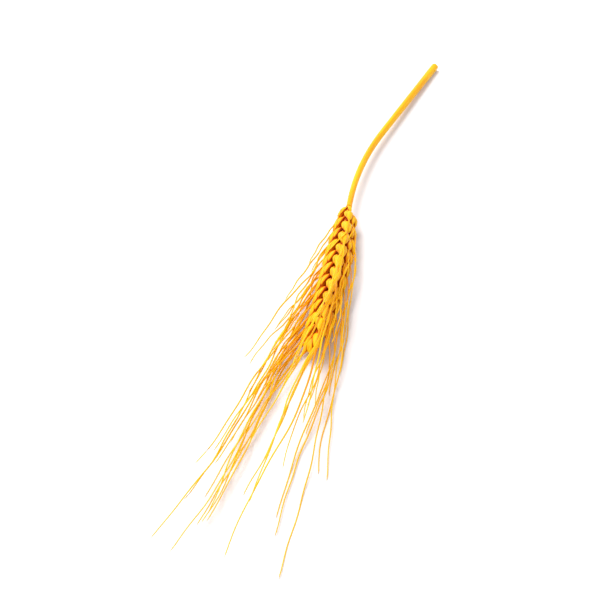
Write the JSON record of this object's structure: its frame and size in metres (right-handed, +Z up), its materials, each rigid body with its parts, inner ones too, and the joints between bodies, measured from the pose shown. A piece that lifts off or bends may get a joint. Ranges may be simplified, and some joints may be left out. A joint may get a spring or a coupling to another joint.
{
  "type": "wheat ear",
  "caption": "Dried bearded wheat ear on a cut stem, lying flat: ranks of plump pointed husks, long fine awns fanning past its tip, slender gently bent straw.",
  "frame": {"origin": "centre of the bounding box, on the surface that the ear lies on", "axes": "+X along the length towards the stem's cut end, so the ear and its awns point to -X; +Z up from the surface"},
  "size_m": [0.2979, 0.0447, 0.0241],
  "materials": {
    "husk": null,
    "straw": "dyed dry straw, smooth and satin, bright golden yellow, finely ribbed along its length"
  },
  "bodies": {
    "root": {"ear": "husk", "stem": "straw"}
  },
  "joints": []
}
